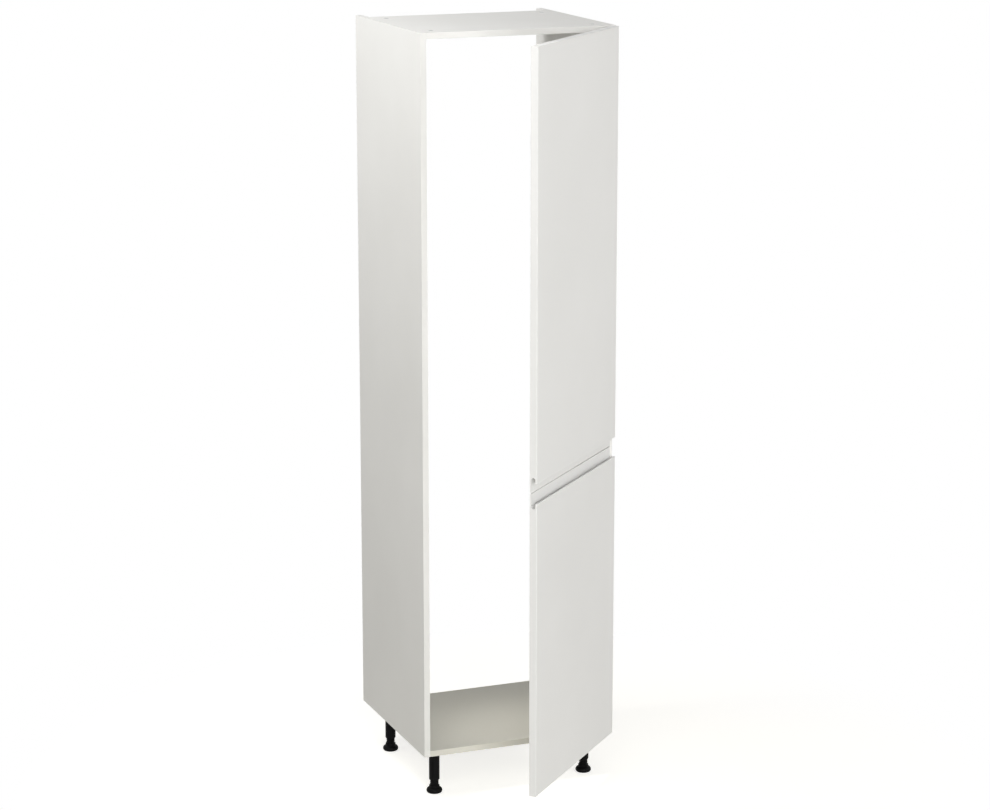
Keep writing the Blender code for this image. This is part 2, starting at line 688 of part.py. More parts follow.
def mounting_plate(name, z, frame):
    """The plate on the side panel: a wing with two screws and a raised block for the arm."""
    face = WIDTH / 2 - PANEL - FIT
    at = (face, PLATE_LINE, z)
    stand = Matrix.Rotation(math.pi / 2, 4, "Y")

    def wing(bm):
        turn = Matrix.Translation((-PLATE_WING / 2, 0, 0)) @ stand @ Matrix.Rotation(math.pi / 2, 4, "Z")
        add_outline(bm, rounded_strip(PLATE_WING_LENGTH / 2, PLATE_WING_WIDTH / 2), PLATE_WING / 2, turn)

    def block(bm):
        low = (FIT - PLATE_BLOCK_HEIGHT, PLATE_BLOCK_FRONT - PLATE_LINE, -PLATE_BLOCK_HALF_WIDTH)
        high = (0, PLATE_BLOCK_REAR - PLATE_LINE, PLATE_BLOCK_HALF_WIDTH)
        add_box(bm, low, high)

    def screws(bm):
        for shift in (-PLATE_SCREW_SPACING / 2, PLATE_SCREW_SPACING / 2):
            middle = (PLATE_SCREW_LENGTH - PLATE_WING) / 2
            add_cylinder(bm, (middle, 0, shift), "x", PLATE_SCREW_RADIUS, PLATE_SCREW_LENGTH + PLATE_WING)

    def heads(bm):
        depth = PLATE_WING / 2 + PLATE_SCREW_HEAD_RISE
        for shift in (-PLATE_SCREW_SPACING / 2, PLATE_SCREW_SPACING / 2):
            middle = -(PLATE_WING + PLATE_SCREW_HEAD_RISE) + depth / 2
            add_cylinder(bm, (middle, 0, shift), "x", PLATE_SCREW_HEAD, depth)

    plate = solid(name, wing, "nickel", at)
    for part, build in (("block", block), ("screws", screws), ("heads", heads)):
        combine(plate, solid(f"{name}_{part}", build, at=at), "UNION")
    plate.parent = frame


def door_axes(prefix, frame):
    """The three joints of one door: the two links on the arm's pins, and the door on the outer link."""
    arm_pin, cup_pin = closed_point(*OUTER_ARM_PIN), closed_point(*OUTER_CUP_PIN)
    inner_pin = closed_point(*INNER_ARM_PIN)
    outer = empty(prefix + "_outer_link_axis", arm_pin, REST_OPEN * OUTER_TURN_SHARE, frame)
    inner = empty(prefix + "_inner_link_axis", inner_pin, REST_OPEN * INNER_TURN_SHARE, frame)
    turn = REST_OPEN * (1 - OUTER_TURN_SHARE)
    leaf = empty(prefix + "_door_axis", cup_pin - arm_pin, turn, outer)
    for axis, pivot in ((outer, arm_pin), (inner, inner_pin), (leaf, cup_pin)):
        axis["closed_at"] = pivot
    return outer, inner, leaf


def hung_door(prefix, bottom, height, groove_at_bottom, hinges, frame):
    """A door with its hinges."""
    outer, inner, leaf = door_axes(prefix, frame)
    heights = hinge_heights(bottom, height, hinges)
    door(prefix + "_door", bottom, height, groove_at_bottom, heights, leaf)
    for number, z in enumerate(heights, 1):
        name = f"{prefix}_hinge_{number}"
        mounting_plate(name + "_plate", z, frame)
        hinge_arm(name + "_arm", z, frame)
        hinge_cup(name + "_cup", z, leaf)
        outer_pins = (OUTER_ARM_PIN, OUTER_CUP_PIN)
        link(name + "_outer_link", z, *outer_pins, OUTER_BEND, OUTER_BEND_SHARE,
             OUTER_LINK_HALF_WIDTH, True, outer_pins, outer)
        link(name + "_inner_link", z, INNER_ARM_PIN, INNER_CUP_PIN, INNER_BEND, INNER_BEND_SHARE,
             INNER_LINK_HALF_WIDTH, False, (INNER_ARM_PIN,), inner)


def rounded_square(side, corner):
    half = side / 2 - corner
    points = []
    for turn, (x, y) in enumerate(((half, half), (-half, half), (-half, -half), (half, -half))):
        points += arc((x, y), corner, 90 * turn, 90 * (turn + 1), CORNER_STEPS)
    return points


def leg_socket(name, x, y, frame):
    """The socket under the base: a plate with a peg up into the panel and a ring that grips the leg."""
    top = LEG_HEIGHT - FIT
    at = (x, y, top)

    def plate(bm):
        turn = Matrix.Translation((0, 0, -SOCKET_PLATE / 2))
        add_outline(bm, rounded_square(SOCKET_PLATE_SIDE, SOCKET_CORNER), SOCKET_PLATE / 2, turn)

    def boss(bm):
        length = SOCKET_BOSS + SOCKET_PLATE / 2
        middle = -(SOCKET_PLATE + SOCKET_BOSS) + length / 2
        add_cylinder(bm, (0, 0, middle), "z", SOCKET_BOSS_RADIUS, length, ROUND_SIDES)

    def peg(bm):
        length = SOCKET_PEG + SOCKET_PLATE / 2
        add_cylinder(bm, (0, 0, SOCKET_PEG - length / 2), "z", SOCKET_PEG_RADIUS, length)

    def bore(bm):
        length = SOCKET_BOSS + OVERRUN
        middle = -(SOCKET_PLATE + length / 2)
        add_cylinder(bm, (0, 0, middle), "z", TUBE_RADIUS + FIT, length, ROUND_SIDES)

    socket = solid(name, plate, "black_plastic", at)
    combine(socket, solid(name + "_boss", boss, at=at), "UNION")
    combine(socket, solid(name + "_peg", peg, at=at), "UNION")
    combine(socket, solid(name + "_bore", bore, at=at))
    socket.parent = frame


def leg_tube(name, x, y, frame):
    """The leg's upper tube, open all through for the foot's stem."""
    top = LEG_HEIGHT - SOCKET_PLATE - 2 * FIT
    inner = TUBE_RADIUS - TUBE_WALL
    profile = (
        (inner, TUBE_BOTTOM),
        (inner, top),
        (TUBE_RADIUS, top),
        (TUBE_RADIUS, TUBE_BOTTOM + TUBE_CHAMFER),
        (TUBE_RADIUS - TUBE_CHAMFER, TUBE_BOTTOM),
        (inner, TUBE_BOTTOM),
    )
    turned(name, profile, "black_plastic", (x, y, 0)).parent = frame


def thread_profile():
    """Ridges of the stem's thread, top to bottom, ending above the collar."""
    root, points = STEM_RADIUS - THREAD_DEPTH, []
    count = round(THREAD_LENGTH / THREAD_PITCH)
    for i in range(count):
        top = COLLAR_TOP + THREAD_PITCH * (count - i)
        points.append((root, top))
        for radius, share in zip((STEM_RADIUS, STEM_RADIUS, root), THREAD_FALL_SHARES):
            points.append((radius, top - THREAD_PITCH * share))
    return points


def foot(name, x, y, axis):
    """The foot: a threaded stem in the tube, a collar to turn it by, and a disc on the floor."""
    root = STEM_RADIUS - THREAD_DEPTH
    profile = [(0, STEM_TOP), (root, STEM_TOP)]
    profile += thread_profile()
    profile += [
        (root, COLLAR_TOP),
        (COLLAR_RADIUS, COLLAR_TOP),
        (COLLAR_RADIUS, COLLAR_BOTTOM),
        (FOOT_RADIUS - FOOT_CHAMFER, FOOT_DISC + FOOT_CHAMFER),
        (FOOT_RADIUS, FOOT_DISC),
        (FOOT_RADIUS, FOOT_CHAMFER),
        (FOOT_RADIUS - FOOT_CHAMFER, 0),
        (0, 0),
    ]
    made = turned(name, profile, "black_plastic", (x, y, 0))
    hang(made, axis)


def legs(frame):
    for name, (x, y) in leg_places().items():
        leg_socket(name + "_leg_socket", x, y, frame)
        leg_tube(name + "_leg_tube", x, y, frame)
        axis = empty(name + "_foot_axis", (x, y, 0), parent=frame)
        axis["closed_at"] = (x, y, 0)
        foot(name + "_foot", x, y, axis)


def main():
    start_scene()
    frame = empty("fridge_housing_frame", -footprint_centre())
    side_panel("left_side_panel", -1, frame)
    side_panel("right_side_panel", 1, frame)
    shelf_panel("base_panel", LEG_HEIGHT, DEPTH - BASE_REAR_SETBACK, False, frame)
    shelf_panel("top_panel", CARCASS_TOP - PANEL, DEPTH - TOP_REAR_SETBACK, True, frame)
    joinery(frame)
    hung_door("lower", LOWER_DOOR_BOTTOM, LOWER_DOOR_HEIGHT, False, LOWER_HINGE_COUNT, frame)
    hung_door("upper", UPPER_DOOR_BOTTOM, UPPER_DOOR_HEIGHT, True, UPPER_HINGE_COUNT, frame)
    legs(frame)


main()
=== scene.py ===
import math

import bmesh
import bpy
from mathutils import Matrix, Vector


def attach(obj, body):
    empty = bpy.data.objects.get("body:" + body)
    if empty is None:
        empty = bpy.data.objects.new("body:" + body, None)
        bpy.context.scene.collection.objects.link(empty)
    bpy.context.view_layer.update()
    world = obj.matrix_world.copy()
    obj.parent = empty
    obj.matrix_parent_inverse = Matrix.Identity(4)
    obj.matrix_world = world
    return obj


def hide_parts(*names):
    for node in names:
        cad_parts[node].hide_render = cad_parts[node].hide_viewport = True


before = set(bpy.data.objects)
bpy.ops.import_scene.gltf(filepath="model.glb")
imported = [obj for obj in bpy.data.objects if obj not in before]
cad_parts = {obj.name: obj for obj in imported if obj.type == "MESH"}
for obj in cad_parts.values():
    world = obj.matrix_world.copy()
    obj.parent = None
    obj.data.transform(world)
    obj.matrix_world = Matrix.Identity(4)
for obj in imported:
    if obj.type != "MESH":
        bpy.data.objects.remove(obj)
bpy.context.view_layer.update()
print("frame loaded")

# Places. Pieces are drawn with the doors closed: x from the middle, y back from the panels' front
# edges, z from the floor.
unit = {
    "halfWidth": 0.300,
    "depth": 0.560,
    "bottom": 0.140,
    "top": 2.290,
    "panel": 0.018,
    "shift": (-0.000815, -0.062158, 0),
    "openDegrees": 44.7,
    "fit": 0.0003,
}
pins = {
    "outerArm": (0.2572, 0.0120),
    "outerCup": (0.2881, -0.0080),
    "innerArm": (0.2520, 0.0030),
    "innerCup": (0.2838, -0.0056),
    "outerTurn": -0.219,      # share of the door's angle
    "innerTurn": -0.341,
    "radius": 0.0010,
}
hingeHeights = {"lower": (0.256, 0.931), "upper": (1.154, 1.6665, 2.179)}
limits = {
    "weld": 0.000005,         # corners closer than this are one
    "near": 0.00001,          # lies in a plane
    "facing": 0.99,           # looks the same way
    "smoothDegrees": 35,
}


def turnAbout(point, degrees):
    pivot = Matrix.Translation((*point, 0))
    return pivot @ Matrix.Rotation(math.radians(degrees), 4, "Z") @ pivot.inverted()


def restPlaces():
    toFrame = Matrix.Translation(unit["shift"])
    opened = unit["openDegrees"]
    outer = turnAbout(pins["outerArm"], opened * pins["outerTurn"])
    inner = turnAbout(pins["innerArm"], opened * pins["innerTurn"])
    cupPin = Vector((*pins["outerCup"], 0))
    leaf = Matrix.Translation(outer @ cupPin) @ Matrix.Rotation(math.radians(opened), 4, "Z")
    leaf = leaf @ Matrix.Translation(-cupPin)
    return {"carcass": toFrame, "outer": toFrame @ outer, "inner": toFrame @ inner, "leaf": toFrame @ leaf}


places = restPlaces()


# Work on one piece at a time

def only(piece):
    bpy.ops.object.select_all(action="DESELECT")
    piece.select_set(True)
    bpy.context.view_layer.objects.active = piece


def newest(name):
    piece = bpy.context.object
    only(piece)
    piece.name = piece.data.name = name
    bpy.ops.object.transform_apply()
    return piece


def startBox(name, low, high):
    bpy.ops.object.select_all(action="DESELECT")
    bpy.ops.mesh.primitive_cube_add(size=1, location=[(a + b) / 2 for a, b in zip(low, high)])
    bpy.context.object.scale = [b - a for a, b in zip(low, high)]
    return newest(name)


def startRound(name, radius, length, middle, axis="Z", sides=48):
    turn = {"X": (0, math.pi / 2, 0), "Y": (math.pi / 2, 0, 0), "Z": (0, 0, 0)}[axis]
    bpy.ops.object.select_all(action="DESELECT")
    bpy.ops.mesh.primitive_cylinder_add(
        vertices=sides, radius=radius, depth=length, location=middle, rotation=turn)
    return newest(name)


def drawChain(name, points, closed=True):
    # one point, pulled along from place to place
    bpy.ops.object.select_all(action="DESELECT")
    bpy.ops.mesh.primitive_plane_add(size=0.01)
    piece = newest(name)
    bpy.ops.object.mode_set(mode="EDIT")
    bpy.ops.mesh.select_mode(type="VERT")
    bpy.ops.mesh.select_all(action="SELECT")
    bpy.ops.mesh.merge(type="CENTER")
    points = [Vector(point) for point in points]
    bpy.ops.transform.translate(value=points[0])
    for before, after in zip(points, points[1:] + points[:1] * closed):
        bpy.ops.mesh.extrude_vertices_move(TRANSFORM_OT_translate={"value": after - before})
    bpy.ops.mesh.select_all(action="SELECT")
    bpy.ops.mesh.remove_doubles(threshold=limits["weld"])
    return piece


def pullOutline(name, points, pull):
    # a closed outline, filled and pulled out into a solid
    piece = drawChain(name, points)
    bpy.ops.mesh.select_all(action="SELECT")
    bpy.ops.mesh.edge_face_add()
    bpy.ops.mesh.extrude_region_move(TRANSFORM_OT_translate={"value": pull})
    bpy.ops.mesh.select_all(action="SELECT")
    bpy.ops.mesh.normals_make_consistent(inside=False)
    bpy.ops.object.mode_set(mode="OBJECT")
    return piece


def spinProfile(name, profile, steps=64, closed=False):
    # (radius, height) pairs turned about the upright axis
    piece = drawChain(name, [(radius, 0, height) for radius, height in profile], closed)
    bpy.ops.mesh.select_all(action="SELECT")
    bpy.ops.mesh.spin(steps=steps, angle=2 * math.pi, center=(0, 0, 0), axis=(0, 0, 1))
    bpy.ops.mesh.select_all(action="SELECT")
    bpy.ops.mesh.remove_doubles(threshold=limits["weld"])
    bpy.ops.mesh.normals_make_consistent(inside=False)
    bpy.ops.object.mode_set(mode="OBJECT")
    return piece


def pick(piece, kind, test):
    modes = {"verts": "VERT", "edges": "EDGE", "faces": "FACE"}
    bpy.ops.mesh.select_mode(type=modes[kind])
    bpy.ops.mesh.select_all(action="DESELECT")
    shape = bmesh.from_edit_mesh(piece.data)
    for item in getattr(shape, kind):
        if test(item):
            item.select_set(True)
    bmesh.update_edit_mesh(piece.data)


def facesLooking(piece, way):
    way = Vector(way)
    pick(piece, "faces", lambda face: face.normal.dot(way) > limits["facing"])


def useModifier(piece, kind, **values):
    modifier = piece.modifiers.new(kind.lower(), kind)
    for key, value in values.items():
        setattr(modifier, key, value)
    only(piece)
    bpy.ops.object.modifier_apply(modifier=modifier.name)


def cutAway(piece, cutter):
    useModifier(piece, "BOOLEAN", operation="DIFFERENCE", solver="EXACT", object=cutter)
    bpy.data.objects.remove(cutter, do_unlink=True)


def softenEdges(piece, width, steps=2, degrees=40):
    useModifier(piece, "BEVEL", width=width, segments=steps, limit_method="ANGLE",
                angle_limit=math.radians(degrees), use_clamp_overlap=True)


def joinUp(pieces):
    only(pieces[0])
    for piece in pieces:
        piece.select_set(True)
    bpy.ops.object.join()
    return pieces[0]


def twin(piece, name):
    made = piece.copy()
    made.data = piece.data.copy()
    made.name = made.data.name = name
    bpy.context.scene.collection.objects.link(made)
    return made


def moved(piece, place):
    only(piece)
    piece.matrix_world = place @ piece.matrix_world
    bpy.ops.object.transform_apply()
    return piece


def arcOf(middle, radius, start, end, steps):
    angles = [math.radians(start + (end - start) * i / steps) for i in range(steps + 1)]
    return [(middle[0] + radius * math.cos(a), middle[1] + radius * math.sin(a)) for a in angles]


# Node groups

speckRange = (0.62, 0.78)     # only the noise's peaks show as specks


def newGroup(name, inputs, outputs):
    group = bpy.data.node_groups.new(name, "ShaderNodeTree")
    for label, value in inputs.items():
        socket = group.interface.new_socket(label, in_out="INPUT", socket_type="NodeSocketFloat")
        socket.default_value = value
    for label in outputs:
        group.interface.new_socket(label, in_out="OUTPUT", socket_type="NodeSocketFloat")
    return group, group.nodes.new("NodeGroupInput"), group.nodes.new("NodeGroupOutput")


def noiseNode(tree, coordinates, detail=3, rough=0.55):
    node = tree.nodes.new("ShaderNodeTexNoise")
    node.inputs["Detail"].default_value = detail
    node.inputs["Roughness"].default_value = rough
    tree.links.new(coordinates, node.inputs["Vector"])
    return node


def mathNode(tree, operation, *values):
    node = tree.nodes.new("ShaderNodeMath")
    node.operation = operation
    for socket, value in zip(node.inputs, values):
        if isinstance(value, (int, float)):
            socket.default_value = value
        else:
            tree.links.new(value, socket)
    return node.outputs[0]


def surfaceGroup():
    # broad clouding, a fine grain and a sparse speckle, each from 0 to 1
    scales = {"Cloud Scale": 2.5, "Grain Scale": 900.0, "Speck Scale": 60.0}
    group, source, result = newGroup("surfaceGrain", scales, ("Cloud", "Grain", "Speck"))
    place = group.nodes.new("ShaderNodeTexCoord").outputs["Object"]
    cloud = noiseNode(group, place, 3, 0.5)
    grain = noiseNode(group, place, 2, 0.6)
    speck = noiseNode(group, place, 4, 0.6)
    for node, label in ((cloud, "Cloud Scale"), (grain, "Grain Scale"), (speck, "Speck Scale")):
        group.links.new(source.outputs[label], node.inputs["Scale"])
    group.links.new(cloud.outputs["Fac"], result.inputs["Cloud"])
    group.links.new(grain.outputs["Fac"], result.inputs["Grain"])
    rare = group.nodes.new("ShaderNodeMapRange")
    rare.inputs["From Min"].default_value, rare.inputs["From Max"].default_value = speckRange
    group.links.new(speck.outputs["Fac"], rare.inputs["Value"])
    group.links.new(rare.outputs["Result"], result.inputs["Speck"])
    return group


def brushGroup():
    # fine drawn lines along the upright, for plated sheet
    group, source, result = newGroup("drawnLines", {"Lines": 1400.0, "Length": 40.0}, ("Streak",))
    place = group.nodes.new("ShaderNodeTexCoord").outputs["Object"]
    split = group.nodes.new("ShaderNodeSeparateXYZ")
    group.links.new(place, split.inputs[0])
    spread = group.nodes.new("ShaderNodeCombineXYZ")
    for axis, label in zip("XYZ", ("Lines", "Lines", "Length")):
        scaled = mathNode(group, "MULTIPLY", split.outputs[axis], source.outputs[label])
        group.links.new(scaled, spread.inputs[axis])
    streak = noiseNode(group, spread.outputs[0], 2, 0.5)
    streak.inputs["Scale"].default_value = 1.0
    group.links.new(streak.outputs["Fac"], result.inputs["Streak"])
    return group


groups = {"surface": surfaceGroup(), "lines": brushGroup()}


# Finishes

finishSettings = {
    "melamine": {
        "dark": (0.790, 0.788, 0.766), "light": (0.835, 0.833, 0.814),
        # shadedBoard is painted shade: a darker, warmer copy of the board colour, for the base board that
        # sits in the carcass's shade
        "shadedBoard": (0.700, 0.688, 0.618), "rough": (0.40, 0.52), "specular": 0.35,
        "grain": 1600.0, "cloud": 2.2, "speck": 90.0, "speckTint": 0.03, "depth": 0.00002,
    },
    "doorLacquer": {
        "dark": (0.788, 0.788, 0.778), "light": (0.828, 0.828, 0.820),
        "rough": (0.36, 0.46), "specular": 0.3,
        "grain": 420.0, "cloud": 1.6, "speck": 45.0, "speckTint": 0.015, "depth": 0.00003,
    },
    "blackPlastic": {
        "dark": (0.0025, 0.0025, 0.0027), "light": (0.0060, 0.0060, 0.0063),
        "rough": (0.38, 0.54), "specular": 0.06,
        "grain": 2600.0, "cloud": 30.0, "speck": 300.0, "speckTint": 0.35, "depth": 0.00004,
    },
}
speckShade = 0.86             # a speck against the board's darker tone
metalCloud = {"Cloud_Scale": 90.0, "Grain_Scale": 3000.0, "Speck_Scale": 400.0}
metalSettings = {
    "nickelPlate": {
        "dark": (0.600, 0.591, 0.570), "light": (0.700, 0.692, 0.672),
        "rough": (0.22, 0.34), "lines": 3400.0, "length": 120.0, "depth": 0.0000015,
    },
    "zincCasting": {
        "dark": (0.400, 0.402, 0.405), "light": (0.600, 0.603, 0.610),
        "rough": (0.34, 0.52), "lines": 700.0, "length": 650.0, "depth": 0.00002,
    },
}


def newFinish(name):
    made = bpy.data.materials.new(name)
    made.use_nodes = True
    return made, made.node_tree, made.node_tree.nodes["Principled BSDF"]


def placeGroup(tree, key, **values):
    node = tree.nodes.new("ShaderNodeGroup")
    node.node_tree = groups[key]
    for label, value in values.items():
        node.inputs[label.replace("_", " ")].default_value = value
    return node


def colourRamp(tree, fac, dark, light, low=0.3, high=0.7):
    ramp = tree.nodes.new("ShaderNodeValToRGB")
    first, last = ramp.color_ramp.elements
    first.position, last.position = low, high
    first.color, last.color = (*dark, 1), (*light, 1)
    tree.links.new(fac, ramp.inputs["Fac"])
    return ramp.outputs["Color"]


def spanNode(tree, fac, low, high, fromLow=0.3, fromHigh=0.7):
    node = tree.nodes.new("ShaderNodeMapRange")
    for label, value in (("From Min", fromLow), ("From Max", fromHigh), ("To Min", low), ("To Max", high)):
        node.inputs[label].default_value = value
    tree.links.new(fac, node.inputs["Value"])
    return node.outputs["Result"]


def mixColours(tree, fac, first, second):
    mix = tree.nodes.new("ShaderNodeMix")
    mix.data_type = "RGBA"
    for socket, value in ((mix.inputs[0], fac), (mix.inputs[6], first), (mix.inputs[7], second)):
        if isinstance(value, tuple):
            socket.default_value = (*value, 1)
        else:
            tree.links.new(value, socket)
    return mix.outputs[2]


def bumpFrom(tree, shader, height, depth):
    bump = tree.nodes.new("ShaderNodeBump")
    bump.inputs["Strength"].default_value = 1.0
    bump.inputs["Distance"].default_value = depth
    tree.links.new(height, bump.inputs["Height"])
    tree.links.new(bump.outputs["Normal"], shader.inputs["Normal"])


def paintedFinish(name):
    values = finishSettings[name]
    made, tree, shader = newFinish(name)
    grain = placeGroup(tree, "surface", Cloud_Scale=values["cloud"], Grain_Scale=values["grain"],
                       Speck_Scale=values["speck"])
    base = colourRamp(tree, grain.outputs["Cloud"], values["dark"], values["light"])
    # painted shade: faces with a shade share are mixed towards the darker, warmer shaded board colour
    if "shadedBoard" in values:
        tone = tree.nodes.new("ShaderNodeAttribute")
        tone.attribute_name = "paintedShade"
        base = mixColours(tree, tone.outputs["Fac"], base, values["shadedBoard"])
    speck = mathNode(tree, "MULTIPLY", grain.outputs["Speck"], values["speckTint"])
    darker = tuple(part * speckShade for part in values["dark"])
    tree.links.new(mixColours(tree, speck, base, darker), shader.inputs["Base Color"])
    tree.links.new(spanNode(tree, grain.outputs["Grain"], *values["rough"]), shader.inputs["Roughness"])
    shader.inputs["Specular IOR Level"].default_value = values["specular"]
    bumpFrom(tree, shader, grain.outputs["Grain"], values["depth"])
    return made


def metalFinish(name):
    values = metalSettings[name]
    made, tree, shader = newFinish(name)
    lines = placeGroup(tree, "lines", Lines=values["lines"], Length=values["length"])
    cloud = placeGroup(tree, "surface", **metalCloud)
    both = mathNode(tree, "MULTIPLY_ADD", cloud.outputs["Cloud"], 0.5, mathNode(
        tree, "MULTIPLY", lines.outputs["Streak"], 0.5))
    tree.links.new(colourRamp(tree, both, values["dark"], values["light"]), shader.inputs["Base Color"])
    tree.links.new(spanNode(tree, lines.outputs["Streak"], *values["rough"]), shader.inputs["Roughness"])
    shader.inputs["Metallic"].default_value = 1.0
    bumpFrom(tree, shader, lines.outputs["Streak"], values["depth"])
    return made


finishes = {name: paintedFinish(name) for name in finishSettings}
finishes.update({name: metalFinish(name) for name in metalSettings})
print("finishes mixed")


def fitPiece(piece, place, body, finish, *nodes):
    moved(piece, place)
    piece.data.materials.clear()
    piece.data.materials.append(finishes[finish])
    bpy.ops.object.shade_smooth_by_angle(angle=math.radians(limits["smoothDegrees"]))
    useModifier(piece, "WEIGHTED_NORMAL", keep_sharp=True)
    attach(piece, body)
    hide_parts(*nodes)


# Panels

panelSettings = {
    # tones are shares of painted shade: the base board fully shaded, the top board not
    "tones": {"base": 1.0, "top": 0.0}, "edge": 0.0005, "topDepth": 0.488, "baseDepth": 0.495,
    "camBore": 0.0078, "camBoreDepth": 0.0128,
    "screwBore": 0.0027, "screwBoreDepth": 0.0108, "screwLine": 0.037, "screwSpacing": 0.032,
}
camSettings = {
    "radius": 0.0075, "depth": 0.0125, "fromEnd": 0.034, "fromEdge": 0.054,
    "rim": 0.0010, "rimDrop": 0.0003, "slot": 0.0037, "soft": 0.00015,
    "crossLength": 0.0088, "crossWidth": 0.0024, "crossDepth": 0.0024,
}


def camSpots(depth):
    across = unit["halfWidth"] - unit["panel"] - camSettings["fromEnd"]
    rows = (("front", camSettings["fromEdge"]), ("rear", depth - camSettings["fromEdge"]))
    return [(row, hand, side * across, y) for row, y in rows for hand, side in (("left", -1), ("right", 1))]


def paintBaseShade(piece, tone):
    # painted shade: the board's colour is pulled towards a darker, warmer copy, as if it sat in the carcass's
    # shade; 1 the most shaded
    layer = piece.data.attributes.new("paintedShade", "FLOAT", "FACE")
    layer.data.foreach_set("value", [tone] * len(piece.data.polygons))


def sidePanels():
    for hand, side in (("left", -1), ("right", 1)):
        ends = sorted((side * unit["halfWidth"], side * (unit["halfWidth"] - unit["panel"])))
        piece = startBox(hand + "Side", (ends[0], 0, unit["bottom"]), (ends[1], unit["depth"], unit["top"]))
        inner, length = side * (unit["halfWidth"] - unit["panel"]), 2 * panelSettings["screwBoreDepth"]
        for z in hingeHeights["lower"] + hingeHeights["upper"]:
            for rise in (-panelSettings["screwSpacing"] / 2, panelSettings["screwSpacing"] / 2):
                at = (inner, panelSettings["screwLine"], z + rise)
                cutAway(piece, startRound("bore", panelSettings["screwBore"], length, at, "X", 20))
        softenEdges(piece, panelSettings["edge"], 3)
        fitPiece(piece, places["carcass"], "carcass", "melamine", hand + "_side_panel")


def crossPanels():
    half = unit["halfWidth"] - unit["panel"] - unit["fit"]
    rows = (("base", unit["bottom"], panelSettings["baseDepth"], unit["bottom"], 1),
            ("top", unit["top"] - unit["panel"], panelSettings["topDepth"], unit["top"], -1))
    for name, bottom, depth, face, inward in rows:
        piece = startBox(name + "Board", (-half, 0, bottom), (half, depth, bottom + unit["panel"]))
        length = panelSettings["camBoreDepth"] * 2
        for row, hand, x, y in camSpots(depth):
            cutAway(piece, startRound("bore", panelSettings["camBore"], length, (x, y, face)))
        softenEdges(piece, panelSettings["edge"], 3)
        # painted shade on the base board, none on the top
        paintBaseShade(piece, panelSettings["tones"][name])
        fitPiece(piece, places["carcass"], "carcass", "melamine", name + "_panel")


def crossCutter(length, width, depth, at=(0, 0, 0)):
    # a plus sign: a post with four arms pulled out of its sides
    half, arm = width / 2, (length - width) / 2
    piece = startBox("cross", (-half, -half, -depth), (half, half, depth))
    bpy.ops.object.mode_set(mode="EDIT")
    for way in ((1, 0, 0), (-1, 0, 0), (0, 1, 0), (0, -1, 0)):
        pull = Vector(way) * arm
        pick(piece, "faces", lambda face: face.normal.dot(Vector(way)) > limits["facing"]
             and face.calc_center_median().dot(Vector(way)) > half * 0.9
             and abs(face.calc_center_median().cross(Vector(way)).z) < half * 0.1)
        bpy.ops.mesh.extrude_region_move(TRANSFORM_OT_translate={"value": pull})
    bpy.ops.mesh.select_all(action="SELECT")
    bpy.ops.mesh.normals_make_consistent(inside=False)
    bpy.ops.object.mode_set(mode="OBJECT")
    return moved(piece, Matrix.Translation(at))


def camModel():
    # a cast disc, face up at the origin, slot towards +X
    values = camSettings
    radius, depth = values["radius"], values["depth"]
    piece = startRound("camModel", radius, depth, (0, 0, -depth / 2))
    bpy.ops.object.mode_set(mode="EDIT")
    facesLooking(piece, (0, 0, 1))
    bpy.ops.mesh.inset(thickness=values["rim"])
    bpy.ops.mesh.extrude_region_move(TRANSFORM_OT_translate={"value": (0, 0, -values["rimDrop"])})
    bpy.ops.object.mode_set(mode="OBJECT")
    cutAway(piece, crossCutter(values["crossLength"], values["crossWidth"], values["crossDepth"]))
    reach, middle = values["slot"], -unit["panel"] / 2
    cutAway(piece, startBox("slot", (-reach, -reach, middle - reach), (radius * 2, reach, middle + reach)))
    softenEdges(piece, values["soft"], 2)
    return piece


def cams():
    model = camModel()
    rows = (("base", panelSettings["baseDepth"], unit["bottom"], math.pi),
            ("top", panelSettings["topDepth"], unit["top"], 0))
    for panel, depth, face, tip in rows:
        for row, hand, x, y in camSpots(depth):
            place = Matrix.Translation((x, y, face)) @ Matrix.Rotation(math.pi if x < 0 else 0, 4, "Z")
            place = place @ Matrix.Rotation(tip, 4, "X")
            name = f"{panel}_{row}_{hand}"
            piece = twin(model, f"{panel}{row.title()}{hand.title()}Cam")
            fitPiece(piece, places["carcass"] @ place, "carcass", "zincCasting", name + "_cam")
            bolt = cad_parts[name + "_bolt"]
            bolt.data.materials.clear()
            bolt.data.materials.append(finishes["zincCasting"])
    bpy.data.objects.remove(model, do_unlink=True)


sidePanels()
crossPanels()
cams()
print("carcass made")


# Doors

doorSettings = {
    "edge": 0.298, "gap": 0.002, "thick": 0.022, "round": 0.0022, "roundSteps": 5, "soft": 0.0004,
    "lip": 0.0055, "lipDrop": 0.028, "channel": 0.012, "behindLip": 0.016, "arcSteps": 10,
    "leaves": {"lower": (0.146, 0.895, False), "upper": (1.044, 1.245, True)},
    "cupBore": 0.0178, "cupBoreDepth": 0.0116, "screwBore": 0.0027, "screwBoreDepth": 0.0093,
    "cupInset": 0.0225, "screwInset": 0.0285, "screwSpacing": 0.048,
}


def doorSection(bottom, height, grooveBelow):
    values = doorSettings
    edge, far, way = (bottom, bottom + height, 1) if grooveBelow else (bottom + height, bottom, -1)
    back, front = -values["gap"], -values["gap"] - values["thick"]
    wall, radius = values["lip"] + values["channel"], values["channel"] / 2
    deep = values["lipDrop"] + values["behindLip"] - radius
    inside = arcOf((wall - radius, deep), radius, 0, 180, values["arcSteps"])
    groove = [(front + reach, edge + way * up) for reach, up in [(wall, 0), *inside]]
    lip = edge + way * values["lipDrop"]
    return [(back, far), (back, edge), *groove, (front + values["lip"], lip), (front, lip), (front, far)]


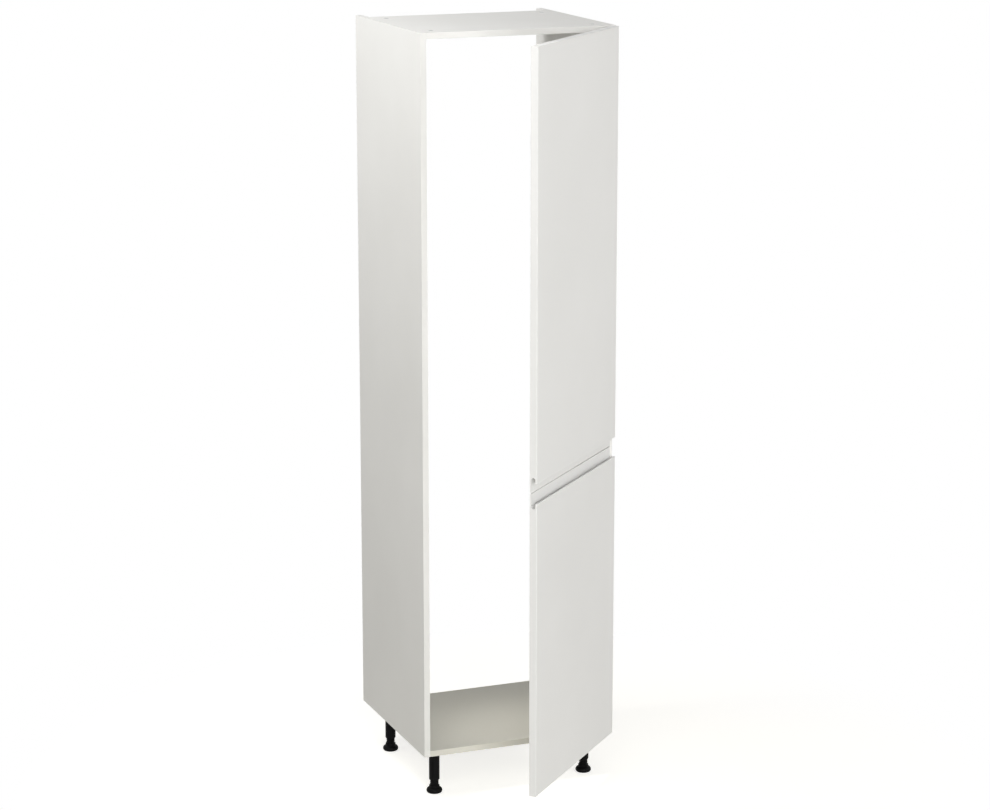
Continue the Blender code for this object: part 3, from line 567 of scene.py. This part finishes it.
def doorPiece(name):
    values = doorSettings
    bottom, height, grooveBelow = values["leaves"][name]
    outline = [(-values["edge"], y, z) for y, z in doorSection(bottom, height, grooveBelow)]
    piece = pullOutline(name + "Leaf", outline, (2 * values["edge"], 0, 0))
    front = -values["gap"] - values["thick"]
    bpy.ops.object.mode_set(mode="EDIT")
    pick(piece, "edges", lambda edge: all(abs(end.co.y - front) < limits["near"] for end in edge.verts))
    bpy.ops.mesh.bevel(offset=values["round"], segments=values["roundSteps"], affect="EDGES")
    bpy.ops.object.mode_set(mode="OBJECT")
    for z in hingeHeights[name]:
        x = values["edge"] - values["cupInset"]
        at = (x, -values["gap"], z)
        cutAway(piece, startRound("bore", values["cupBore"], 2 * values["cupBoreDepth"], at, "Y"))
        for rise in (-values["screwSpacing"] / 2, values["screwSpacing"] / 2):
            at = (values["edge"] - values["screwInset"], -values["gap"], z + rise)
            cutAway(piece, startRound("bore", values["screwBore"], 2 * values["screwBoreDepth"], at, "Y", 20))
    softenEdges(piece, values["soft"], 2)
    fitPiece(piece, places["leaf"], name + "_door_leaf", "doorLacquer", name + "_door")


for name in doorSettings["leaves"]:
    doorPiece(name)
print("doors made")


# Hinges

screwSettings = {
    "sides": 32, "dome": 0.0004, "domeShare": 0.6,
    "crossLength": 0.72, "crossWidth": 0.20, "crossDepth": 0.0012,
}
cupSettings = {
    "radius": 0.0175, "depth": 0.0113, "wall": 0.0012, "floor": 0.0009, "rim": 0.0015,
    "bowlRound": 0.0010, "soft": 0.00025, "pinClear": 0.0003,
    "flange": (0.0003, 0.0013), "flangeLength": 0.062, "flangeWidth": 0.013, "flangeOffset": -0.0060,
    "notch": 0.0030, "notchHalf": 0.0062, "notchPast": 0.004, "hollowLength": 0.02,
    "screwRadius": 0.0038, "screwRise": 0.0006, "screwSpacing": 0.048,
}
armSettings = {
    "halfWidth": 0.0076, "slotHalf": 0.0059, "slotBack": 0.0146, "slotPast": 0.005, "slotReach": 0.02,
    "soft": 0.0005, "outlineInset": (
        (0.0380, 0.0004), (0.0488, 0.0004), (0.0488, 0.0174), (0.0283, 0.0348), (0.0283, 0.0600),
        (0.0223, 0.0600), (0.0223, 0.0202), (0.0380, 0.0174)),
    "adjusters": (0.0395, 0.0535), "adjusterRadius": 0.0032, "adjusterRise": 0.0006, "adjusterLift": 0.0009,
    "seatGap": 0.0003, "seatDepth": 0.0020,
    "rivet": 0.0019, "rivetRise": 0.0003, "rivetSunk": 0.0001, "rivetSoft": 0.0002,
}
plateSettings = {
    "line": 0.037, "wing": 0.0022, "length": 0.050, "width": 0.013, "soft": 0.0004,
    "block": (0.018, 0.057), "blockHeight": 0.0057, "blockHalf": 0.0055, "blockGap": 0.0004,
    "border": 0.0012, "sink": 0.0006, "screwSpacing": 0.032, "screwRadius": 0.0040, "screwRise": 0.0012,
}
linkSettings = {
    "outer": {
        "ends": ("outerArm", "outerCup"), "bend": 0.0155, "share": 0.9, "half": 0.0054, "strip": 0.0016,
    },
    "inner": {
        "ends": ("innerArm", "innerCup"), "bend": 0.0012, "share": 0.8, "half": 0.0034, "strip": 0.0,
    },
    "thick": 0.0014, "knuckle": 0.0019, "proud": 0.0002, "steps": 14, "soft": 0.0002,
}
toBack = Matrix.Rotation(-math.pi / 2, 4, "X")     # turns a face that looks up to look back
toLeft = Matrix.Rotation(-math.pi / 2, 4, "Y")     # turns a face that looks up to look left


def screwHead(radius, rise, sunk=0.0010):
    # a domed head with a cross recess, its seat at the origin
    values = screwSettings
    piece = startRound("screw", radius, rise + sunk, (0, 0, (rise - sunk) / 2), sides=values["sides"])
    bpy.ops.object.mode_set(mode="EDIT")
    pick(piece, "edges", lambda edge: all(end.co.z > rise - limits["near"] for end in edge.verts))
    bpy.ops.mesh.bevel(offset=min(values["dome"], rise * values["domeShare"]), segments=3, affect="EDGES")
    bpy.ops.object.mode_set(mode="OBJECT")
    cutAway(piece, crossCutter(2 * radius * values["crossLength"], 2 * radius * values["crossWidth"],
                               values["crossDepth"], (0, 0, rise)))
    return piece


def strip(name, length, width, thick):
    # a flat strip with round ends, lying in the x-y plane
    ends = length / 2 - width / 2
    outline = arcOf((0, ends), width / 2, 0, 180, 12) + arcOf((0, -ends), width / 2, 180, 360, 12)
    return pullOutline(name, [(x, y, 0) for x, y in outline], (0, 0, thick))


def cupModel():
    # the bowl's axis is y, its open side looks back
    values = cupSettings
    radius, rim = values["radius"], values["rim"]
    middle = (0, (rim - values["depth"]) / 2, 0)
    bowl = startRound("cupModel", radius, values["depth"] + rim, middle, "Y", 64)
    bpy.ops.object.mode_set(mode="EDIT")
    facesLooking(bowl, (0, 1, 0))
    bpy.ops.mesh.inset(thickness=values["wall"])
    bpy.ops.mesh.extrude_region_move(
        TRANSFORM_OT_translate={"value": (0, values["floor"] - values["depth"] - rim, 0)})
    bpy.ops.mesh.bevel(offset=values["bowlRound"], segments=3, affect="EDGES")
    bpy.ops.object.mode_set(mode="OBJECT")
    low, high = values["flange"]
    flange = strip("flange", values["flangeLength"], values["flangeWidth"], high - low)
    moved(flange, Matrix(((1, 0, 0, values["flangeOffset"]), (0, 0, 1, low), (0, 1, 0, 0), (0, 0, 0, 1))))
    bpy.ops.object.mode_set(mode="EDIT")
    bpy.ops.mesh.select_all(action="SELECT")
    bpy.ops.mesh.normals_make_consistent(inside=False)
    bpy.ops.object.mode_set(mode="OBJECT")
    hollow = startRound("hollow", radius - values["wall"] / 2, values["hollowLength"], (0, 0, 0), "Y", 64)
    cutAway(flange, hollow)
    past, half = values["notchPast"], values["notchHalf"]
    notch = startBox("notch", (radius / 2, -values["notch"], -half), (radius + past, rim + past, half))
    cutAway(bowl, notch)
    for piece in (bowl, flange):
        softenEdges(piece, values["soft"], 2)
    parts = [bowl, flange]
    for way in (-1, 1):
        head = screwHead(values["screwRadius"], values["screwRise"])
        at = (values["flangeOffset"], high, way * values["screwSpacing"] / 2)
        parts.append(moved(head, Matrix.Translation(at) @ toBack))
    offset = doorSettings["edge"] - doorSettings["cupInset"]
    pinX, pinY = pins["outerCup"][0] - offset, pins["outerCup"][1] + doorSettings["gap"]
    length = 2 * math.sqrt((radius - values["pinClear"]) ** 2 - (pinX + pins["radius"]) ** 2)
    parts.append(startRound("pin", pins["radius"], length, (pinX, pinY, 0), "Z", 24))
    return joinUp(parts)


def armModel():
    values = armSettings
    half, edge = values["halfWidth"], doorSettings["edge"]
    outline = [(edge - inset, y, -half) for inset, y in values["outlineInset"]]
    piece = pullOutline("armModel", outline, (0, 0, 2 * half))
    slotHalf, past = values["slotHalf"], values["slotPast"]
    nose = edge - values["outlineInset"][0][0]
    low = (nose - values["slotReach"], -past, -slotHalf)
    cutAway(piece, startBox("slot", low, (nose + past, values["slotBack"], slotHalf)))
    face = edge - values["outlineInset"][3][0]
    for y in values["adjusters"]:
        radius = values["adjusterRadius"] + values["seatGap"]
        cutAway(piece, startRound("seat", radius, values["seatDepth"], (face, y, 0), "X", 32))
    softenEdges(piece, values["soft"], 3)
    parts = [piece]
    for y in values["adjusters"]:
        head = screwHead(values["adjusterRadius"], values["adjusterRise"])
        parts.append(moved(head, Matrix.Translation((face + values["adjusterLift"], y, 0)) @ toLeft))
    for x, y in (pins["outerArm"], pins["innerArm"]):
        parts.append(startRound("pin", pins["radius"], 2 * half, (x, y, 0), "Z", 24))
        for way in (-1, 1):
            spot = (x, y, way * (half + values["rivetRise"] / 2 - values["rivetSunk"]))
            height = values["rivetRise"] + 2 * values["rivetSunk"]
            rivet = startRound("rivet", values["rivet"], height, spot, "Z", 24)
            softenEdges(rivet, values["rivetSoft"], 2)
            parts.append(rivet)
    return joinUp(parts)


def plateModel():
    values = plateSettings
    face = unit["halfWidth"] - unit["panel"] - unit["fit"]
    wing = strip("plateModel", values["length"], values["width"], values["wing"])
    moved(wing, Matrix(((0, 0, -1, face), (1, 0, 0, values["line"]), (0, 1, 0, 0), (0, 0, 0, 1))))
    low = (face - values["blockHeight"], values["block"][0], -values["blockHalf"])
    block = startBox("block", low, (face - values["blockGap"], values["block"][1], values["blockHalf"]))
    bpy.ops.object.mode_set(mode="EDIT")
    facesLooking(block, (-1, 0, 0))
    bpy.ops.mesh.inset(thickness=values["border"])
    bpy.ops.mesh.extrude_region_move(TRANSFORM_OT_translate={"value": (values["sink"], 0, 0)})
    bpy.ops.object.mode_set(mode="OBJECT")
    for piece in (wing, block):
        only(piece)
        bpy.ops.object.mode_set(mode="EDIT")
        bpy.ops.mesh.select_all(action="SELECT")
        bpy.ops.mesh.normals_make_consistent(inside=False)
        bpy.ops.object.mode_set(mode="OBJECT")
        softenEdges(piece, values["soft"], 2)
    parts = [wing, block]
    for way in (-1, 1):
        head = screwHead(values["screwRadius"], values["screwRise"])
        at = (face - values["wing"], values["line"], way * values["screwSpacing"] / 2)
        parts.append(moved(head, Matrix.Translation(at) @ toLeft))
    return joinUp(parts)


def bandOutline(kind):
    # the bowed band between two pins, seen from above
    values = linkSettings[kind]
    start, end = (Vector(pins[name]) for name in values["ends"])
    along = end - start
    aside = Vector((along.y, -along.x)).normalized()
    control = start + along * values["share"] + aside * values["bend"]
    left, right = [], []
    for i in range(linkSettings["steps"] + 1):
        t = i / linkSettings["steps"]
        point = start * (1 - t) ** 2 + control * 2 * t * (1 - t) + end * t ** 2
        slope = ((control - start) * (1 - t) + (end - control) * t).normalized()
        normal = Vector((-slope.y, slope.x)) * linkSettings["thick"] / 2
        left.append(point + normal)
        right.append(point - normal)
    return left + right[::-1]


def linkModel(kind):
    values = linkSettings[kind]
    half = values["half"]
    outline = bandOutline(kind)
    if values["strip"]:
        levels = ((-half, values["strip"]), (half - values["strip"], values["strip"]))
    else:
        levels = ((-half, 2 * half),)
    parts = []
    for low, thick in levels:
        band = pullOutline(kind + "LinkModel", [(*point, low) for point in outline], (0, 0, thick))
        softenEdges(band, linkSettings["soft"], 2, 60)
        parts.append(band)
    for name in values["ends"]:
        length = 2 * (half + linkSettings["proud"])
        knuckle = startRound("knuckle", linkSettings["knuckle"], length, (*pins[name], 0), "Z", 32)
        softenEdges(knuckle, linkSettings["soft"], 2)
        parts.append(knuckle)
    return joinUp(parts)


def hinges():
    edge = doorSettings["edge"]
    cupPlace = Matrix.Translation((edge - doorSettings["cupInset"], -doorSettings["gap"], 0))
    models = (
        ("plate", plateModel(), "carcass", None),
        ("arm", armModel(), "carcass", None),
        ("cup", moved(cupModel(), cupPlace), "leaf", "_door_leaf"),
        ("outer_link", linkModel("outer"), "outer", "_outer_links"),
        ("inner_link", linkModel("inner"), "inner", "_inner_links"),
    )
    for part, model, place, body in models:
        for leaf, heights in hingeHeights.items():
            for number, z in enumerate(heights, 1):
                words = "".join(word.title() for word in part.split("_"))
                piece = twin(model, f"{leaf}Hinge{number}{words}")
                at = places[place] @ Matrix.Translation((0, 0, z))
                rides = leaf + body if body else "carcass"
                fitPiece(piece, at, rides, "nickelPlate", f"{leaf}_hinge_{number}_{part}")
        bpy.data.objects.remove(model, do_unlink=True)


hinges()
print("hinges made")


# Legs

legSettings = {
    "spots": {"front_left": (-0.244, 0.070), "front_right": (0.244, 0.070),
              "rear_left": (-0.244, 0.465), "rear_right": (0.244, 0.465)},
    "tubeRadius": 0.0160, "tubeWall": 0.0026, "tubeBottom": 0.0410, "tubeTop": 0.1354,
    "tubeRound": 0.0004, "tubeMouth": 0.0006,
    # inward and up from the tube's lower outer corner, with a shallow groove
    "tubeEnd": ((0, 0.0030), (0.0002, 0.0026), (0.0002, 0.0020), (0, 0.0016), (0.0003, 0.0006), (0.0010, 0)),
}
socketSettings = {
    "top": 0.1397, "plate": 0.0040, "plateSoft": 0.0006, "side": 0.058, "corner": 0.008,
    "boss": 0.0200, "bossLength": 0.0170, "bossRound": 0.0006, "boreStep": 0.0001,
    "peg": 0.0050, "pegLength": 0.0100, "pegRound": 0.0008, "pegSunk": 0.001, "overlap": 0.0005,
    "ribs": 8, "ribReach": 0.0075, "ribDrop": 0.0120, "ribThick": 0.0022, "ribSoft": 0.0004,
}
footSettings = {
    "disc": ((0, 0), (0.0196, 0), (0.0214, 0.0008), (0.0230, 0.0024), (0.0238, 0.0044), (0.0240, 0.0064),
             (0.0239, 0.0084), (0.0231, 0.0110), (0.0216, 0.0132), (0.0195, 0.0149), (0.0172, 0.0159),
             (0.0157, 0.0163)),
    "collarRadius": 0.0157, "collarTop": 0.0238, "collarSlope": 0.0006, "shoulder": (0.0003, 0.0006),
    "stemRadius": 0.0117, "stemTop": 0.0960, "stemRound": 0.001, "soft": 0.0002,
    "crest": 0.0132, "pitch": 0.0052, "turns": 4, "turnSteps": 40, "toothShares": (0.32, 0.52, 0.84),
    "rootSunk": 0.0005, "startSunk": 0.0010,
    "notches": 12, "notchLow": 0.0180, "notchRadius": 0.0009, "notchOut": 0.0002,
}


def socketModel():
    values = socketSettings
    top, plateLow = values["top"], values["top"] - values["plate"]
    half = values["side"] / 2 - values["corner"]
    outline = []
    for turn, (x, y) in enumerate(((half, half), (-half, half), (-half, -half), (half, -half))):
        outline += arcOf((x, y), values["corner"], 90 * turn, 90 * (turn + 1), 8)
    plate = pullOutline("socketModel", [(x, y, plateLow) for x, y in outline], (0, 0, values["plate"]))
    softenEdges(plate, values["plateSoft"], 2)
    bore, bottom = legSettings["tubeRadius"] + unit["fit"], plateLow - values["bossLength"]
    boss, rounded, joined = values["boss"], values["bossRound"], plateLow + values["overlap"]
    ring = spinProfile("ring", (
        (bore, plateLow - values["boreStep"]), (bore, bottom + rounded), (bore + rounded, bottom),
        (boss - rounded, bottom), (boss, bottom + rounded), (boss, joined), (bore, joined)), closed=True)
    peg, pegTop, pegLow = values["peg"], top + values["pegLength"], top - values["pegSunk"]
    pin = spinProfile("peg", (
        (0, pegTop), (peg - values["pegRound"], pegTop), (peg, pegTop - values["pegRound"]),
        (peg, pegLow), (0, pegLow)), 32)
    parts = [plate, ring, pin]
    reach, inside, side = boss + values["ribReach"], boss - values["overlap"], -values["ribThick"] / 2
    for turn in range(values["ribs"]):
        corners = ((inside, joined), (reach, joined), (inside, plateLow - values["ribDrop"]))
        rib = pullOutline("rib", [(x, side, z) for x, z in corners], (0, values["ribThick"], 0))
        softenEdges(rib, values["ribSoft"], 2)
        parts.append(moved(rib, Matrix.Rotation(math.radians(360 / values["ribs"] * turn), 4, "Z")))
    return joinUp(parts)


def tubeModel():
    radius, inner = legSettings["tubeRadius"], legSettings["tubeRadius"] - legSettings["tubeWall"]
    bottom, top = legSettings["tubeBottom"], legSettings["tubeTop"]
    rounded, mouth = legSettings["tubeRound"], legSettings["tubeMouth"]
    end = [(radius - inward, bottom + up) for inward, up in legSettings["tubeEnd"]]
    return spinProfile("tubeModel", (
        (inner, bottom + mouth), (inner, top), (radius - rounded, top), (radius, top - rounded),
        *end, (inner + mouth, bottom)), closed=True)


def threadPiece():
    # one tooth, wound up the stem
    values = footSettings
    root, crest, pitch = values["stemRadius"] - values["rootSunk"], values["crest"], values["pitch"]
    low = values["collarTop"] - values["startSunk"]
    first, second, last = (low + pitch * share for share in values["toothShares"])
    piece = drawChain("thread", ((root, 0, low), (crest, 0, first), (crest, 0, second), (root, 0, last)))
    bpy.ops.object.mode_set(mode="OBJECT")
    useModifier(piece, "SCREW", axis="Z", screw_offset=pitch, iterations=values["turns"],
                steps=values["turnSteps"], render_steps=values["turnSteps"], use_merge_vertices=False)
    bpy.ops.object.mode_set(mode="EDIT")
    bpy.ops.mesh.select_all(action="SELECT")
    bpy.ops.mesh.remove_doubles(threshold=limits["weld"])
    for level in (low, low + pitch * values["turns"]):
        pick(piece, "edges", lambda edge: edge.is_boundary and all(
            abs(end.co.y) < limits["near"] and level - limits["near"] < end.co.z < level + pitch
            for end in edge.verts))
        bpy.ops.mesh.edge_face_add()
    bpy.ops.mesh.select_all(action="SELECT")
    bpy.ops.mesh.normals_make_consistent(inside=False)
    bpy.ops.object.mode_set(mode="OBJECT")
    return piece


def footModel():
    values = footSettings
    radius, top, stem = values["collarRadius"], values["collarTop"], values["stemRadius"]
    shoulder = top - values["collarSlope"]
    inward, down = values["shoulder"]
    end, rounded = values["stemTop"], values["stemRound"]
    profile = [*values["disc"], (radius, shoulder - down), (radius - inward, shoulder), (stem, top),
               (stem, end - rounded), (stem - rounded, end), (0, end)]
    piece = spinProfile("footModel", profile)
    for turn in range(values["notches"]):
        angle = 2 * math.pi * turn / values["notches"]
        low, out = values["notchLow"], radius + values["notchOut"]
        at = (out * math.cos(angle), out * math.sin(angle), (low + shoulder) / 2)
        cutAway(piece, startRound("grip", values["notchRadius"], shoulder - low, at, "Z", 12))
    softenEdges(piece, values["soft"], 2, 50)
    return joinUp([piece, threadPiece()])


def legs():
    models = (("leg_socket", socketModel()), ("leg_tube", tubeModel()), ("foot", footModel()))
    for part, model in models:
        for spot, (x, y) in legSettings["spots"].items():
            words = "".join(word.title() for word in (spot + "_" + part).split("_"))
            piece = twin(model, words[0].lower() + words[1:])
            body = spot + "_foot_body" if part == "foot" else "carcass"
            at = places["carcass"] @ Matrix.Translation((x, y, 0))
            fitPiece(piece, at, body, "blackPlastic", f"{spot}_{part}")
        bpy.data.objects.remove(model, do_unlink=True)


legs()
print("legs made")


# Floor, light and camera

stageSettings = {
    "size": 40.0, "drop": 0.0002, "floorColour": (0.59, 0.575, 0.52), "rough": 0.9, "specular": 0.1,
    "shadowGlow": 0.70, "fadeStart": 0.8, "fadeEnd": 1.5, "fill": 0.10, "fillColour": (1.0, 0.94, 0.84),
}
lamps = {
    # name: place, aimed at, size, watts
    "far": ((-1.5, -10.0, 3.0), (0.0, 0.0, 1.1), 4.0, 270.0),
    "low": ((-1.2, -6.5, 0.9), (0.0, 0.0, 0.9), 2.4, 110.0),
    "high": ((-1.2, -5.0, 5.2), (0.0, 0.0, 1.2), 2.4, 36.0),
    "left": ((-3.6, -5.0, 3.6), (0.0, 0.0, 1.3), 2.4, 64.0),
    "right": ((4.5, -4.0, 3.0), (0.1, -0.2, 1.2), 2.4, 118.0),
    "side": ((-2.6, 0.35, 3.3), (-0.3, 0.2, 1.7), 1.2, 21.0),
    "back": ((1.0, 6.6, 0.9), (0.0, 0.2, 1.2), 3.0, 150.0),
    "crown": ((-1.7, 0.25, 3.9), (-0.3, 0.2, 1.9), 1.0, 35.0),
}
insideLamp = {
    "place": (-0.35, -0.55, 3.40), "aim": (0.08, 0.01, 0.16), "degrees": 12, "radius": 0.12,
    "watts": 125.0, "colour": (1.0, 0.97, 0.92),
}
cameraSettings = {
    "place": (-3.06772, -7.65236, 3.12120), "turn": (76.742, 0.022, -21.521),
    "lens": 104.411, "sensor": 36.0, "clip": (0.1, 200.0),
}


def seenDirectly(tree):
    path = tree.nodes.new("ShaderNodeLightPath").outputs
    direct = mathNode(tree, "ADD", path["Is Camera Ray"], path["Is Glossy Ray"])
    total = tree.nodes.new("ShaderNodeMath")
    total.operation, total.use_clamp = "ADD", True
    tree.links.new(direct, total.inputs[0])
    tree.links.new(path["Is Transmission Ray"], total.inputs[1])
    return total.outputs[0]


def floorFinish():
    # seen directly it is white, with the shadow near the legs kept
    values = stageSettings
    made, tree, shader = newFinish("paleFloor")
    shader.inputs["Base Color"].default_value = (*values["floorColour"], 1)
    shader.inputs["Roughness"].default_value = values["rough"]
    shader.inputs["Specular IOR Level"].default_value = values["specular"]
    place = tree.nodes.new("ShaderNodeTexCoord").outputs["Object"]
    length = tree.nodes.new("ShaderNodeVectorMath")
    length.operation = "LENGTH"
    tree.links.new(place, length.inputs[0])
    near = spanNode(tree, length.outputs["Value"], 1.0, 0.0, values["fadeStart"], values["fadeEnd"])
    white = tree.nodes.new("ShaderNodeEmission")
    glow = tree.nodes.new("ShaderNodeEmission")
    glow.inputs["Strength"].default_value = values["shadowGlow"]
    lit = tree.nodes.new("ShaderNodeAddShader")
    tree.links.new(shader.outputs[0], lit.inputs[0])
    tree.links.new(glow.outputs[0], lit.inputs[1])
    shown = tree.nodes.new("ShaderNodeMixShader")
    for socket, value in zip(shown.inputs, (near, white.outputs[0], lit.outputs[0])):
        tree.links.new(value, socket)
    final = tree.nodes.new("ShaderNodeMixShader")
    for socket, value in zip(final.inputs, (seenDirectly(tree), shader.outputs[0], shown.outputs[0])):
        tree.links.new(value, socket)
    tree.links.new(final.outputs[0], tree.nodes["Material Output"].inputs["Surface"])
    return made


def makeFloor():
    bpy.ops.object.select_all(action="DESELECT")
    bpy.ops.mesh.primitive_plane_add(size=stageSettings["size"], location=(0, 0, -stageSettings["drop"]))
    floor = newest("studioFloor")
    floor.data.materials.append(floorFinish())


def makeWorld():
    world = bpy.data.worlds.new("studioFill")
    bpy.context.scene.world = world
    world.use_nodes = True
    tree = world.node_tree
    fill = tree.nodes["Background"]
    fill.inputs["Color"].default_value = (*stageSettings["fillColour"], 1)
    fill.inputs["Strength"].default_value = stageSettings["fill"]
    white = tree.nodes.new("ShaderNodeBackground")
    white.inputs["Color"].default_value = (1, 1, 1, 1)
    mix = tree.nodes.new("ShaderNodeMixShader")
    for socket, value in zip(mix.inputs, (seenDirectly(tree), fill.outputs[0], white.outputs[0])):
        tree.links.new(value, socket)
    tree.links.new(mix.outputs[0], tree.nodes["World Output"].inputs["Surface"])


def hangLamp(name, kind, place, aim, watts):
    data = bpy.data.lights.new(name + "Lamp", kind)
    data.energy = watts
    lamp = bpy.data.objects.new(name + "Lamp", data)
    bpy.context.scene.collection.objects.link(lamp)
    lamp.location = place
    lamp.rotation_euler = (Vector(aim) - Vector(place)).to_track_quat("-Z", "Y").to_euler()
    lamp.visible_camera = False
    return data


def makeLamps():
    for name, (place, aim, size, watts) in lamps.items():
        hangLamp(name, "AREA", place, aim, watts).size = size
    bpy.data.objects["backLamp"].visible_glossy = False     # no glare on boards seen at a slant
    inside = hangLamp("inside", "SPOT", insideLamp["place"], insideLamp["aim"], insideLamp["watts"])
    inside.spot_size, inside.spot_blend = math.radians(insideLamp["degrees"]), 1.0
    inside.shadow_soft_size, inside.color = insideLamp["radius"], insideLamp["colour"]


def makeCamera():
    data = bpy.data.cameras.new("photoCamera")
    data.lens, data.sensor_width = cameraSettings["lens"], cameraSettings["sensor"]
    data.clip_start, data.clip_end = cameraSettings["clip"]
    camera = bpy.data.objects.new("photoCamera", data)
    bpy.context.scene.collection.objects.link(camera)
    camera.location = cameraSettings["place"]
    camera.rotation_euler = [math.radians(turn) for turn in cameraSettings["turn"]]
    bpy.context.scene.camera = camera


makeFloor()
makeWorld()
makeLamps()
makeCamera()
bpy.context.scene.view_settings.view_transform = "Standard"
print("stage set")
